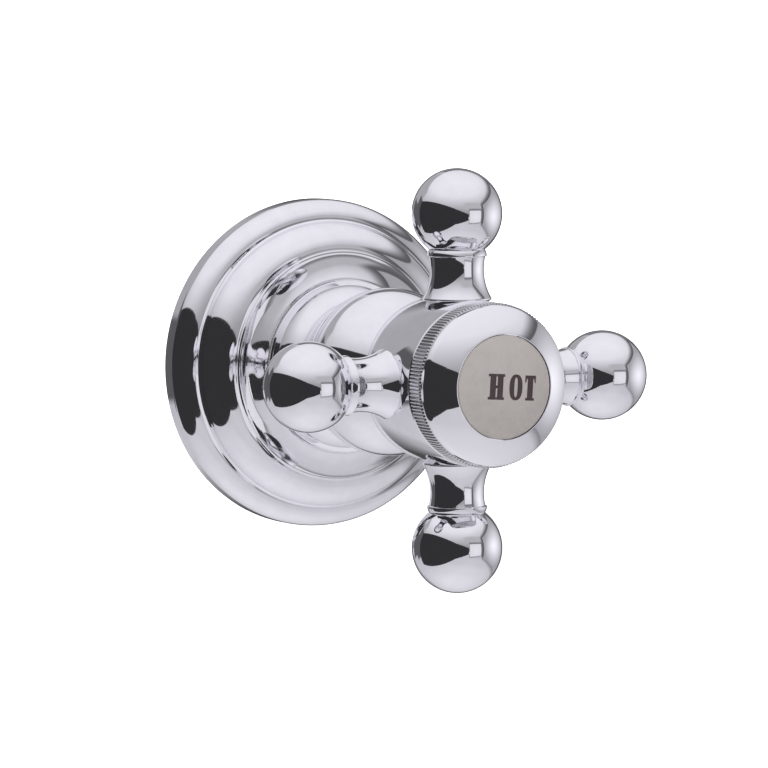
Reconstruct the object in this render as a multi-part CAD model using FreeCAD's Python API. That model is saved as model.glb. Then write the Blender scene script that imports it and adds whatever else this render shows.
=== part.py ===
import FreeCAD, Part
import math
import os

# Concealed tap: a quarter-turn stop valve that sits in the wall, with a stepped wall
# flange, a waisted shroud and a cross handle with four ball-ended arms.
# Frame, in millimetres: +Z up, the tap's axis along Y, the front of the tap towards -Y.
# The origin is the middle of the flange's back face, on the face of the wall.
# "Out" is the distance from the wall towards the user, so out = -y, and a place inside
# the wall has a negative out. Angles are seen from the front, anticlockwise from +X.

# Clearances and shares
thread_gap = 0.05
running_gap = 0.05
seal_gap = 0.03
guide_gap = 0.08
overrun = 1.0
quarter_round_share = 1 - math.cos(math.pi / 4)
middle_share = 0.5

# Wall flange, from its hole outwards
skirt_radius = 13.9
flange_hole_gap = 0.15
flange_seat_width = 3.15
flange_dish_width = 5.4
flange_dish_rise = 1.5
flange_dish_sag = 0.3
flange_edge_rise = 0.3
flange_inner_band_width = 5.6
flange_inner_band_rise = 5.3
flange_inner_band_bow = 1.4
flange_lip_width = 0.3
flange_lip_rise = 0.35
flange_outer_band_width = 4.0
flange_outer_band_rise = 4.0
flange_outer_band_bow = 1.1
flange_rim_height = 2.6
flange_wall = 1.2
flange_corner_share = 0.75

# Rubber ring inside the flange's rim, and the washer under the shroud's foot
wall_seal_width = 1.9
wall_seal_thickness = 1.8
foot_washer_thickness = 0.6
foot_washer_margin = 0.4

# Shroud: skirt, foot, waisted neck and nose
shroud_skirt_length = 4.5
shroud_skirt_wall = 1.3
foot_radius = 17.0
foot_edge = 0.9
foot_edge_round = 0.25
foot_face_width = 1.1
waist_bow = 1.15
waist_radius = 12.7
waist_rise = 5.25
swell_radius = 14.45
swell_rise = 9.95
shoulder_radius = 14.6
shoulder_rise = 23.45
nose_radius = 10.9
nose_start_rise = 33.6
nose_length = 3.6
shroud_bore_gap = 0.7
shroud_thread_length = 13.5

# Headwork housing
barrel_radius = 9.5
barrel_end_depth = 6.0
barrel_edge = 0.5
hex_corner_margin = 0.3
hex_length = 7.0
body_thread_radius = 10.4
body_thread_length = 7.0
housing_skirt_radius = 9.2
housing_skirt_length = 11.0
cartridge_bore_radius = 7.6
cartridge_top_rise = 0.5
spindle_bore_radius = 5.15
window_length = 3.4
window_angle = 70.0
stop_wall_width = 2.6
stop_wall_height = 2.1
stop_wall_angle = 149.0
stop_wall_middle_angle = 270.0

# Ceramic valve discs and the seal under them
disc_radius = 7.5
disc_thickness = 2.6
disc_proud = 0.6
port_inner_radius = 2.4
port_outer_radius = 6.2
port_angle = 76.0
seat_seal_thickness = 2.0
seat_seal_bore = 5.2

# Spindle, its seals, its thrust washer and its quarter-turn stop
turn_angle = 90.0
stop_slack_angle = 1.0
collar_radius = 7.3
collar_thickness = 1.6
thrust_washer_thickness = 0.5
drive_shaft_radius = 3.2
tang_length = 11.0
tang_width = 2.6
tang_height = 1.2
tang_gap = 0.1
spindle_waist_radius = 4.6
oring_section_radius = 0.65
oring_groove_slack = 0.15
first_oring_out = -2.0
oring_spacing = 4.0
oring_count = 2
top_bearing_length = 6.0
stop_ring_thickness = 2.0
stop_ring_gap = 0.1
stop_flat_half_width = 4.3
clip_thickness = 1.0
clip_gap = 0.05
clip_groove_depth = 0.7
clip_width = 2.0
clip_opening_angle = 50.0
clip_margin = 0.6
spindle_neck_radius = 4.25
spline_teeth = 20
spline_tip_radius = 3.95
spline_root_radius = 3.55
spindle_end_gap = 1.0
spindle_tapping_depth = 9.0

# Valve body in the wall
body_washer_thickness = 1.5
body_washer_margin = 0.25
body_wall = 2.55
body_depth = 30.0
body_edge = 0.8
thread_run_out = 0.6
chamber_radius = 10.6
seat_recess_depth = 0.8
seat_hole_radius = 5.0
inlet_well_depth = 9.6
passage_radius = 3.8
inlet_passage_drop = 6.8
outlet_passage_rise = 3.5
socket_axis_depth = 19.0
socket_half_span = 23.5
socket_bore_radius = 7.55
socket_depth = 11.2
socket_wall = 1.5
socket_bead = 0.75
socket_bead_length = 2.5

# Handle hub, its guide ring and its splined bush
hub_radius = 15.7
hub_length = 17.9
hub_back_round = 1.0
hub_front_edge = 0.3
nose_overlap = 1.2
hub_recess_depth = 2.0
glide_ring_width = 1.55
glide_ring_length = 2.0
arm_plane_from_hub_back = 8.3
bush_radius = 6.0
bush_length = 10.6
hub_web_thickness = 1.8
hub_spigot_wall = 2.95
hub_spigot_step = 2.35
hub_spigot_length = 4.4

# Handle screw and its washer
screw_radius = 1.95
screw_hole_gap = 0.3
screw_head_radius = 3.6
screw_head_height = 2.5
screw_head_round = 0.6
screw_socket_flats = 2.5
screw_socket_depth = 1.5
screw_end_gap = 1.2
screw_washer_radius = 4.5
screw_washer_thickness = 0.8

# Arms of the cross handle, measured outwards from the tap's axis
arm_names = ("arm_right", "arm_top", "arm_left", "arm_bottom")
stud_radius = 3.9
stud_length = 6.8
stud_end_gap = 0.4
arm_base_radius = 6.6
arm_base_edge = 0.5
arm_base_round = 0.15
arm_rim_thickness = 0.3
arm_seat_radius = 4.6
arm_seat_depth = 1.0
arm_neck_length = 7.5
arm_neck_sag = 0.75
arm_neck_end_radius = 5.4
arm_lip_radius = 5.72
arm_lip_slope = 0.15
arm_lip_bow = 0.08
arm_throat_radius = 5.35
arm_collar_length = 1.226
ball_radius = 8.64

# Knurled ring that holds the index
knurl_step = 0.05
knurl_length = 4.3
knurl_edge = 0.3
crown_rise = 4.5
crown_bow = 0.2
crown_width = 5.23
crown_edge_rise = 1.6
crown_edge_width = 0.7
crown_edge_bow = 0.2
ring_lip_width = 0.12
index_recess_depth = 2.2
ring_web_thickness = 1.8
index_shelf_width = 1.1

# Ceramic index and the rubber ring that grips its spigot
index_rim_gap = 0.15
index_rim_drop = 0.05
index_rise = 0.45
index_edge = 0.25
index_spigot_gap = 1.5
index_spigot_length = 2.6

# Places in front of the wall, worked out from the sizes above
flange_step_out = flange_rim_height + flange_outer_band_rise
flange_lip_out = flange_step_out + flange_lip_rise
flange_crest_out = flange_lip_out + flange_inner_band_rise
flange_edge_out = flange_crest_out + flange_edge_rise
flange_seat_out = flange_edge_out + flange_dish_rise
foot_back_out = flange_seat_out + foot_washer_thickness
foot_front_out = foot_back_out + foot_edge
nose_start_out = foot_front_out + nose_start_rise
nose_front_out = nose_start_out + nose_length
barrel_end_out = nose_front_out - barrel_end_depth
hub_back_out = nose_front_out - nose_overlap
bush_back_out = hub_back_out + hub_recess_depth
bush_front_out = bush_back_out + bush_length
web_front_out = bush_front_out + hub_web_thickness
arm_plane_out = hub_back_out + arm_plane_from_hub_back
hub_shoulder_out = hub_back_out + hub_length
hub_front_out = hub_shoulder_out + hub_spigot_length
knurl_front_out = hub_shoulder_out + knurl_length
ring_front_out = knurl_front_out + crown_rise
index_shelf_out = ring_front_out - index_recess_depth
ring_web_back_out = index_shelf_out - ring_web_thickness
spindle_front_out = bush_front_out - spindle_end_gap
screw_head_out = web_front_out + screw_washer_thickness
screw_tip_out = spindle_front_out - spindle_tapping_depth + screw_end_gap
stop_ring_back_out = barrel_end_out + stop_ring_gap
clip_back_out = stop_ring_back_out + stop_ring_thickness + clip_gap
clip_front_out = clip_back_out + clip_thickness

# Places inside the wall
body_face_out = -body_washer_thickness
body_back_out = body_face_out - body_depth
thread_end_out = -body_thread_length
housing_end_out = thread_end_out - housing_skirt_length
cartridge_top_out = thread_end_out + cartridge_top_rise
fixed_disc_back_out = housing_end_out - disc_proud
fixed_disc_front_out = fixed_disc_back_out + disc_thickness
moving_disc_back_out = fixed_disc_front_out + seal_gap
moving_disc_front_out = moving_disc_back_out + disc_thickness
seat_out = fixed_disc_back_out - seat_seal_thickness
chamber_floor_out = seat_out + seat_recess_depth
collar_front_out = cartridge_top_out - thrust_washer_thickness - seal_gap
collar_back_out = collar_front_out - collar_thickness

# Radii worked out from the sizes above
flange_hole_radius = skirt_radius + flange_hole_gap
flange_seat_radius = flange_hole_radius + flange_seat_width
flange_dish_radius = flange_seat_radius + flange_dish_width
flange_step_radius = flange_dish_radius + flange_inner_band_width
flange_lip_radius = flange_step_radius + flange_lip_width
flange_radius = flange_lip_radius + flange_outer_band_width
shroud_mouth_radius = skirt_radius - shroud_skirt_wall
shroud_bore_radius = barrel_radius + shroud_bore_gap
spindle_radius = spindle_bore_radius - running_gap
oring_radius = spindle_bore_radius - seal_gap - oring_section_radius
glide_ring_radius = nose_radius + glide_ring_width
stop_wall_outer_radius = barrel_radius - barrel_edge
stop_wall_inner_radius = stop_wall_outer_radius - stop_wall_width
hole_for_screw_radius = screw_radius + screw_hole_gap
body_radius = body_thread_radius + thread_gap + body_wall
hex_across_flats = 2 * (body_radius - hex_corner_margin) * math.cos(math.pi / 6)
hub_spigot_radius = hub_radius - hub_spigot_step
hub_cavity_radius = hub_spigot_radius - hub_spigot_wall
knurl_radius = hub_radius - knurl_step
index_bore_radius = knurl_radius - knurl_edge - crown_width - ring_lip_width
index_radius = index_bore_radius - index_rim_gap
ring_web_hole_radius = index_bore_radius - index_shelf_width
index_spigot_radius = ring_web_hole_radius - index_spigot_gap

# Places along an arm, measured outwards from the tap's axis
arm_base_out = hub_radius + arm_base_edge
arm_neck_end = arm_base_out + arm_neck_length
ball_start = arm_neck_end + arm_lip_slope + arm_collar_length
ball_centre = ball_start + math.sqrt(ball_radius**2 - arm_throat_radius**2)

origin = FreeCAD.Vector(0, 0, 0)
forward = FreeCAD.Vector(0, -1, 0)
upward = FreeCAD.Vector(0, 0, 1)


class Outline:
    """Half section of a turned piece, drawn by place along the axis and radius."""

    def __init__(self, along, radius):
        self.first = FreeCAD.Vector(radius, -along, 0)
        self.last = self.first
        self.heading = 0
        self.edges = []

    def line(self, along, radius):
        end = FreeCAD.Vector(radius, -along, 0)
        self.edges.append(Part.makeLine(self.last, end))
        self.heading = math.atan2(end.y - self.last.y, end.x - self.last.x)
        self.last = end
        return self

    def bow(self, along, radius, height):
        """Arc whose middle stands this high to the left of the way the outline runs."""
        end = FreeCAD.Vector(radius, -along, 0)
        chord = end - self.last
        side = FreeCAD.Vector(-chord.y, chord.x, 0).normalize()
        middle = (self.last + end) * middle_share + side * height
        self.edges.append(Part.Arc(self.last, middle, end).toShape())
        self.heading = math.atan2(chord.y, chord.x) - 2 * math.atan(2 * height / chord.Length)
        self.last = end
        return self

    def glide(self, along, radius):
        """Arc that carries on smoothly from the last edge."""
        chord = FreeCAD.Vector(radius, -along, 0) - self.last
        turn = self.heading - math.atan2(chord.y, chord.x)
        turn = math.atan2(math.sin(turn), math.cos(turn))
        return self.bow(along, radius, chord.Length * middle_share * math.tan(turn * middle_share))

    def past(self, middle_along, middle_radius, along, radius):
        """Arc through a middle place to its end."""
        middle = FreeCAD.Vector(middle_radius, -middle_along, 0)
        end = FreeCAD.Vector(radius, -along, 0)
        self.edges.append(Part.Arc(self.last, middle, end).toShape())
        self.last = end
        return self

    def face(self):
        closing = Part.makeLine(self.last, self.first)
        return Part.Face(Part.Wire(self.edges + [closing]))

    def solid(self):
        return self.face().revolve(origin, forward, 360)


def ring(back, front, outer, inner=0):
    """Ring or rod about the tap's axis between two places."""
    outline = Outline(back, inner).line(back, outer).line(front, outer).line(front, inner)
    return outline.solid()


def sector(back, front, outer, inner, middle_angle, sweep_angle):
    """Part of a ring, centred on an angle."""
    outline = Outline(back, inner).line(back, outer).line(front, outer).line(front, inner)
    piece = outline.face().revolve(origin, forward, sweep_angle)
    piece.rotate(origin, forward, middle_angle - sweep_angle * middle_share)
    return piece


def prism(corners, back, front):
    """Prism along the tap's axis with these corners, seen from the front."""
    points = [FreeCAD.Vector(x, -back, z) for x, z in corners]
    points.append(points[0])
    return Part.Face(Part.makePolygon(points)).extrude(forward * (front - back))


def block(half_width, half_height, back, front, centre=0):
    """Rectangular prism along the tap's axis, moved sideways by its centre."""
    left = centre - half_width
    right = centre + half_width
    corners = (
        (left, -half_height),
        (right, -half_height),
        (right, half_height),
        (left, half_height),
    )
    return prism(corners, back, front)


def polygon(radii, count, back, front):
    """Prism whose corners step round the axis and take these radii in turn."""
    corners = []
    for step in range(count):
        angle = 2 * math.pi * step / count
        radius = radii[step % len(radii)]
        corners.append((radius * math.cos(angle), radius * math.sin(angle)))
    return prism(corners, back, front)


def hexagon(across_flats, back, front):
    corner_radius = across_flats * middle_share / math.cos(math.pi / 6)
    return polygon((corner_radius,), 6, back, front)


def upright_rod(radius, depth, low, high):
    """Vertical rod on the tap's centre line at a depth inside the wall."""
    return Part.makeCylinder(radius, high - low, FreeCAD.Vector(0, depth, low), upward)


def wall_flange():
    corner = flange_wall * flange_corner_share
    outline = Outline(0, flange_radius)
    outline.line(flange_rim_height, flange_radius)
    outline.bow(flange_step_out, flange_lip_radius, flange_outer_band_bow)
    outline.line(flange_lip_out, flange_step_radius)
    outline.bow(flange_crest_out, flange_dish_radius, flange_inner_band_bow)
    outline.line(flange_edge_out, flange_dish_radius)
    outline.bow(flange_seat_out, flange_seat_radius, -flange_dish_sag)
    outline.line(flange_seat_out, flange_hole_radius)
    outline.line(flange_seat_out - flange_wall, flange_hole_radius)
    outline.line(flange_seat_out - flange_wall, flange_seat_radius)
    outline.line(flange_edge_out - flange_wall, flange_dish_radius - corner)
    outline.bow(flange_step_out - flange_wall, flange_lip_radius - corner, -flange_outer_band_bow)
    outline.bow(flange_rim_height, flange_radius - flange_wall, -flange_outer_band_bow)
    outline.line(0, flange_radius - flange_wall)
    return outline.solid()


def wall_seal():
    outer = flange_radius - flange_wall - seal_gap
    return ring(0, wall_seal_thickness, outer, outer - wall_seal_width)


def foot_washer():
    outer = foot_radius - foot_washer_margin
    return ring(flange_seat_out, foot_back_out, outer, flange_hole_radius)


def shroud():
    skirt_back = foot_back_out - shroud_skirt_length
    thread_back = nose_front_out - shroud_thread_length
    thread_radius = barrel_radius + thread_gap
    rounding = quarter_round_share * foot_edge_round
    outline = Outline(skirt_back, shroud_mouth_radius)
    outline.line(skirt_back, skirt_radius)
    outline.line(foot_back_out, skirt_radius)
    outline.line(foot_back_out, foot_radius)
    outline.line(foot_front_out - foot_edge_round, foot_radius)
    outline.bow(foot_front_out, foot_radius - foot_edge_round, rounding)
    outline.line(foot_front_out, foot_radius - foot_face_width)
    outline.bow(foot_front_out + waist_rise, waist_radius, -waist_bow)
    outline.glide(foot_front_out + swell_rise, swell_radius)
    outline.glide(foot_front_out + shoulder_rise, shoulder_radius)
    outline.glide(nose_start_out, nose_radius)
    outline.line(nose_front_out, nose_radius)
    outline.line(nose_front_out, thread_radius)
    outline.line(thread_back, thread_radius)
    outline.line(thread_back, shroud_bore_radius)
    outline.line(foot_front_out, shroud_bore_radius)
    outline.line(foot_front_out, shroud_mouth_radius)
    return outline.solid()


def glide_ring():
    return ring(nose_front_out - glide_ring_length, nose_front_out, glide_ring_radius, nose_radius)


def headwork_housing():
    outline = Outline(housing_end_out, cartridge_bore_radius)
    outline.line(housing_end_out, housing_skirt_radius)
    outline.line(thread_end_out, housing_skirt_radius)
    outline.line(thread_end_out, body_thread_radius)
    outline.line(hex_length, body_thread_radius)
    outline.line(hex_length, barrel_radius)
    outline.line(barrel_end_out - barrel_edge, barrel_radius)
    outline.line(barrel_end_out, barrel_radius - barrel_edge)
    outline.line(barrel_end_out, spindle_bore_radius)
    outline.line(cartridge_top_out, spindle_bore_radius)
    outline.line(cartridge_top_out, cartridge_bore_radius)
    housing = outline.solid()
    nut = hexagon(hex_across_flats, 0, hex_length)
    housing = housing.fuse(nut.cut(ring(0, hex_length, body_thread_radius)))
    stop_wall = sector(
        barrel_end_out,
        barrel_end_out + stop_wall_height,
        stop_wall_outer_radius,
        stop_wall_inner_radius,
        stop_wall_middle_angle,
        stop_wall_angle,
    )
    housing = housing.fuse(stop_wall).removeSplitter()
    for middle_angle in (0, 180):
        window = sector(
            thread_end_out - window_length - thread_run_out,
            thread_end_out - thread_run_out,
            housing_skirt_radius + overrun,
            cartridge_bore_radius - overrun,
            middle_angle,
            window_angle,
        )
        housing = housing.cut(window)
    return housing


def body_washer():
    inner = body_thread_radius + thread_gap
    return ring(body_face_out, 0, body_radius - body_washer_margin, inner)


def valve_body():
    socket_radius = socket_bore_radius + socket_wall
    bead_radius = socket_radius + socket_bead
    socket_floor = socket_half_span - socket_depth
    outline = Outline(body_back_out, 0)
    outline.line(body_back_out, body_radius - body_edge)
    outline.line(body_back_out + body_edge, body_radius)
    outline.line(body_face_out, body_radius)
    outline.line(body_face_out, 0)
    body = outline.solid()
    pipe = upright_rod(socket_radius, socket_axis_depth, -socket_half_span, socket_half_span)
    body = body.fuse(pipe)
    bead_start = socket_half_span - socket_bead_length
    body = body.fuse(upright_rod(bead_radius, socket_axis_depth, bead_start, socket_half_span))
    body = body.fuse(upright_rod(bead_radius, socket_axis_depth, -socket_half_span, -bead_start))
    chamber_top = thread_end_out - thread_run_out
    socket_end = socket_half_span + overrun
    inlet_depth = socket_axis_depth + inlet_passage_drop
    outlet_depth = socket_axis_depth - outlet_passage_rise
    hollows = (
        ring(chamber_top, body_face_out + overrun, body_thread_radius + thread_gap),
        ring(chamber_floor_out, chamber_top, chamber_radius),
        ring(seat_out, chamber_floor_out, cartridge_bore_radius),
        ring(seat_out - inlet_well_depth, seat_out, seat_hole_radius),
        upright_rod(passage_radius, inlet_depth, -socket_floor, 0),
        upright_rod(passage_radius, outlet_depth, 0, socket_floor),
        upright_rod(socket_bore_radius, socket_axis_depth, -socket_end, -socket_floor),
        upright_rod(socket_bore_radius, socket_axis_depth, socket_floor, socket_end),
    )
    for hollow in hollows:
        body = body.cut(hollow)
    return body.removeSplitter()


def seat_seal():
    return ring(seat_out, fixed_disc_back_out, cartridge_bore_radius - seal_gap, seat_seal_bore)


def ported_disc(back, port_middle_angle):
    """Ceramic disc with two ports on opposite sides."""
    front = back + disc_thickness
    disc = ring(back, front, disc_radius)
    for side_angle in (0, 180):
        port = sector(
            back - overrun,
            front + overrun,
            port_outer_radius,
            port_inner_radius,
            port_middle_angle + side_angle,
            port_angle,
        )
        disc = disc.cut(port)
    return disc


def fixed_ceramic_disc():
    return ported_disc(fixed_disc_back_out, 0)


def moving_ceramic_disc():
    disc = ported_disc(moving_disc_back_out, turn_angle)
    slot = block(
        tang_length * middle_share + tang_gap,
        tang_width * middle_share + tang_gap,
        moving_disc_front_out - tang_height - tang_gap,
        moving_disc_front_out + overrun,
    )
    return disc.cut(slot)


def spindle():
    groove_radius = oring_radius - oring_section_radius
    groove_half = oring_section_radius + oring_groove_slack
    outline = Outline(moving_disc_front_out + seal_gap, 0)
    outline.line(moving_disc_front_out + seal_gap, drive_shaft_radius)
    outline.line(collar_back_out, drive_shaft_radius)
    outline.line(collar_back_out, collar_radius)
    outline.line(collar_front_out, collar_radius)
    outline.line(collar_front_out, spindle_radius)
    for index in range(oring_count):
        middle = first_oring_out + index * oring_spacing
        outline.line(middle - groove_half, spindle_radius)
        outline.line(middle - groove_half, groove_radius)
        outline.line(middle + groove_half, groove_radius)
        outline.line(middle + groove_half, spindle_radius)
    waist_back = first_oring_out + oring_count * oring_spacing
    waist_front = barrel_end_out - top_bearing_length
    outline.line(waist_back, spindle_radius)
    outline.line(waist_back, spindle_waist_radius)
    outline.line(waist_front, spindle_waist_radius)
    outline.line(waist_front, spindle_radius)
    outline.line(clip_back_out, spindle_radius)
    outline.line(clip_back_out, spindle_radius - clip_groove_depth)
    outline.line(clip_front_out, spindle_radius - clip_groove_depth)
    outline.line(clip_front_out, spindle_radius)
    outline.line(clip_front_out + clip_margin, spindle_radius)
    outline.line(clip_front_out + clip_margin, spindle_neck_radius)
    outline.line(bush_back_out, spindle_neck_radius)
    outline.line(bush_back_out, 0)
    shaft = outline.solid()
    tang = block(
        tang_length * middle_share,
        tang_width * middle_share,
        moving_disc_front_out - tang_height,
        moving_disc_front_out + tang_height,
    )
    shaft = shaft.fuse(tang)
    for side in (-1, 1):
        flat = block(
            spindle_radius,
            spindle_radius + overrun,
            barrel_end_out,
            clip_front_out + clip_margin + overrun,
            side * (stop_flat_half_width + spindle_radius),
        )
        shaft = shaft.cut(flat)
    radii = (spline_tip_radius, spline_root_radius)
    shaft = shaft.fuse(polygon(radii, 2 * spline_teeth, bush_back_out, spindle_front_out))
    tapping_floor = spindle_front_out - spindle_tapping_depth
    tapping = ring(tapping_floor, spindle_front_out + overrun, screw_radius + thread_gap)
    return shaft.cut(tapping).removeSplitter()


def spindle_oring(index):
    middle = FreeCAD.Vector(0, -first_oring_out - index * oring_spacing, 0)
    return Part.makeTorus(oring_radius, oring_section_radius, middle, forward)


def thrust_washer():
    inner = spindle_radius + guide_gap
    outer = cartridge_bore_radius - guide_gap
    return ring(cartridge_top_out - thrust_washer_thickness, cartridge_top_out, outer, inner)


def stop_ring():
    """Ring keyed to the spindle's flats, with a tab that meets the housing's stop wall."""
    front = stop_ring_back_out + stop_ring_thickness
    tab_angle = 360 - stop_wall_angle - turn_angle - 2 * stop_slack_angle
    tab_offset = (stop_wall_angle + tab_angle) * middle_share + stop_slack_angle
    tab_middle = stop_wall_middle_angle + tab_offset
    body = ring(stop_ring_back_out, front, stop_wall_inner_radius - guide_gap)
    tab = sector(
        stop_ring_back_out,
        front,
        stop_wall_outer_radius,
        spindle_radius,
        tab_middle,
        tab_angle,
    )
    keyed_hole = ring(
        stop_ring_back_out - overrun,
        front + overrun,
        spindle_radius + running_gap,
    ).common(
        block(
            stop_flat_half_width + running_gap,
            spindle_radius + overrun,
            stop_ring_back_out - overrun,
            front + overrun,
        )
    )
    return body.fuse(tab).cut(keyed_hole).removeSplitter()


def retaining_clip():
    inner = spindle_radius - clip_groove_depth + clip_gap
    clip = ring(clip_back_out + clip_gap, clip_front_out - clip_gap, inner + clip_width, inner)
    opening = sector(
        clip_back_out,
        clip_front_out,
        inner + clip_width + overrun,
        0,
        turn_angle,
        clip_opening_angle,
    )
    return clip.cut(opening)


def arm_blank():
    """Arm turned about its own axis, from its seat inside the hub to the ball's end."""
    rounding = quarter_round_share * arm_base_round
    seat_out = hub_radius - arm_seat_depth
    outline = Outline(seat_out - overrun, 0)
    outline.line(seat_out - overrun, arm_seat_radius)
    outline.line(seat_out, arm_seat_radius)
    outline.line(arm_base_out - arm_rim_thickness, arm_base_radius)
    outline.line(arm_base_out - arm_base_round, arm_base_radius)
    outline.bow(arm_base_out, arm_base_radius - arm_base_round, rounding)
    outline.bow(arm_neck_end, arm_neck_end_radius, -arm_neck_sag)
    outline.line(arm_neck_end + arm_lip_slope, arm_lip_radius)
    outline.bow(ball_start, arm_throat_radius, arm_lip_bow)
    outline.past(ball_centre, ball_radius, ball_centre + ball_radius, 0)
    return outline.solid()


def cross_to_arm(piece, angle):
    """Turn a piece made along the tap's axis so that it points along an arm."""
    piece.rotate(origin, upward, 90)
    piece.rotate(origin, forward, angle)
    piece.translate(forward * arm_plane_out)
    return piece


def arm(angle):
    """One arm with its base seated on the hub and its stud inside it."""
    blank = cross_to_arm(arm_blank(), angle)
    around_hub = ring(
        arm_plane_out - arm_base_radius - overrun,
        arm_plane_out + arm_base_radius + overrun,
        hub_radius,
    )
    blank = blank.cut(around_hub)
    stud = cross_to_arm(ring(hub_radius - stud_length, hub_radius + overrun, stud_radius), angle)
    return blank.fuse(stud)


def handle_hub():
    recess_radius = glide_ring_radius + guide_gap
    rounding = quarter_round_share * hub_back_round
    outline = Outline(hub_back_out, recess_radius)
    outline.line(hub_back_out, hub_radius - hub_back_round)
    outline.bow(hub_back_out + hub_back_round, hub_radius, rounding)
    outline.line(hub_shoulder_out - hub_front_edge, hub_radius)
    outline.line(hub_shoulder_out, hub_radius - hub_front_edge)
    outline.line(hub_shoulder_out, hub_spigot_radius)
    outline.line(hub_front_out, hub_spigot_radius)
    outline.line(hub_front_out, hub_cavity_radius)
    outline.line(web_front_out, hub_cavity_radius)
    outline.line(web_front_out, hole_for_screw_radius)
    outline.line(bush_front_out, hole_for_screw_radius)
    outline.line(bush_front_out, bush_radius)
    outline.line(bush_back_out, bush_radius)
    outline.line(bush_back_out, recess_radius)
    hub = outline.solid()
    hole_floor = hub_radius - stud_length - stud_end_gap
    for index in range(len(arm_names)):
        hole = ring(hole_floor, hub_radius + overrun, stud_radius + thread_gap)
        hub = hub.cut(cross_to_arm(hole, 90 * index))
    return hub


def spline_bush():
    radii = (spline_tip_radius + running_gap, spline_root_radius + running_gap)
    bore = polygon(radii, 2 * spline_teeth, bush_back_out - overrun, bush_front_out + overrun)
    return ring(bush_back_out, bush_front_out, bush_radius).cut(bore)


def handle_screw():
    head_front = screw_head_out + screw_head_height
    rounding = quarter_round_share * screw_head_round
    outline = Outline(screw_tip_out, 0)
    outline.line(screw_tip_out, screw_radius)
    outline.line(screw_head_out, screw_radius)
    outline.line(screw_head_out, screw_head_radius)
    outline.line(head_front - screw_head_round, screw_head_radius)
    outline.bow(head_front, screw_head_radius - screw_head_round, rounding)
    outline.line(head_front, 0)
    key = hexagon(screw_socket_flats, head_front - screw_socket_depth, head_front + overrun)
    return outline.solid().cut(key)


def screw_washer():
    return ring(web_front_out, screw_head_out, screw_washer_radius, hole_for_screw_radius)


def knurled_ring():
    thread_radius = hub_spigot_radius + thread_gap
    outline = Outline(hub_shoulder_out, thread_radius)
    outline.line(hub_shoulder_out, knurl_radius - knurl_edge)
    outline.line(hub_shoulder_out + knurl_edge, knurl_radius)
    outline.line(knurl_front_out - knurl_edge, knurl_radius)
    outline.line(knurl_front_out, knurl_radius - knurl_edge)
    crown_edge_radius = knurl_radius - knurl_edge - crown_edge_width
    outline.bow(knurl_front_out + crown_edge_rise, crown_edge_radius, crown_edge_bow)
    outline.bow(ring_front_out, index_bore_radius + ring_lip_width, crown_bow)
    outline.line(ring_front_out, index_bore_radius)
    outline.line(index_shelf_out, index_bore_radius)
    outline.line(index_shelf_out, ring_web_hole_radius)
    outline.line(ring_web_back_out, ring_web_hole_radius)
    outline.line(ring_web_back_out, thread_radius)
    return outline.solid()


def index_oring():
    section = (ring_web_hole_radius - index_spigot_radius - seal_gap) * middle_share
    centre_radius = (ring_web_hole_radius + index_spigot_radius) * middle_share
    middle_out = (ring_web_back_out + index_shelf_out) * middle_share
    return Part.makeTorus(centre_radius, section, forward * middle_out, forward)


def index_disc():
    rim_out = ring_front_out - index_rim_drop
    face_radius = index_radius - index_edge
    dome_radius = (face_radius**2 + index_rise**2) / (2 * index_rise)
    middle_radius = face_radius * middle_share
    middle_drop = dome_radius - math.sqrt(dome_radius**2 - middle_radius**2)
    outline = Outline(index_shelf_out - index_spigot_length, 0)
    outline.line(index_shelf_out - index_spigot_length, index_spigot_radius)
    outline.line(index_shelf_out, index_spigot_radius)
    outline.line(index_shelf_out, index_radius)
    outline.line(rim_out - index_edge, index_radius)
    outline.line(rim_out, face_radius)
    outline.past(rim_out + index_rise - middle_drop, middle_radius, rim_out + index_rise, 0)
    return outline.solid()


def all_pieces():
    """Every piece by its node name."""
    pieces = {
        "valve_body": valve_body(),
        "body_washer": body_washer(),
        "seat_seal": seat_seal(),
        "fixed_ceramic_disc": fixed_ceramic_disc(),
        "moving_ceramic_disc": moving_ceramic_disc(),
        "headwork_housing": headwork_housing(),
        "thrust_washer": thrust_washer(),
        "spindle": spindle(),
        "stop_ring": stop_ring(),
        "retaining_clip": retaining_clip(),
        "wall_flange": wall_flange(),
        "wall_seal": wall_seal(),
        "foot_washer": foot_washer(),
        "shroud": shroud(),
        "glide_ring": glide_ring(),
        "handle_hub": handle_hub(),
        "spline_bush": spline_bush(),
        "handle_screw": handle_screw(),
        "screw_washer": screw_washer(),
        "knurled_ring": knurled_ring(),
        "index_oring": index_oring(),
        "index_disc": index_disc(),
    }
    for index in range(oring_count):
        pieces["spindle_oring_%d" % (index + 1)] = spindle_oring(index)
    for index, name in enumerate(arm_names):
        pieces[name] = arm(90 * index)
    return pieces


os.makedirs("parts", exist_ok=True)
for node, shape in all_pieces().items():
    shape.exportStep("parts/%s.step" % node)
    print(node, "solids", len(shape.Solids), "volume", round(shape.Volume, 1), "valid", shape.isValid())
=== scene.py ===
"""Looks of the concealed tap: polished wall flange, neck, cross handle and ceramic index,
with the brass valve and its seals behind the wall. Metres, +Z up, the front towards -Y.
"Out" is the distance from the face of the wall towards the user, so out = -y."""

import math

import bmesh
import bpy
from bpy.props import FloatProperty, FloatVectorProperty, IntProperty, PointerProperty
from mathutils import Matrix, Vector


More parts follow.
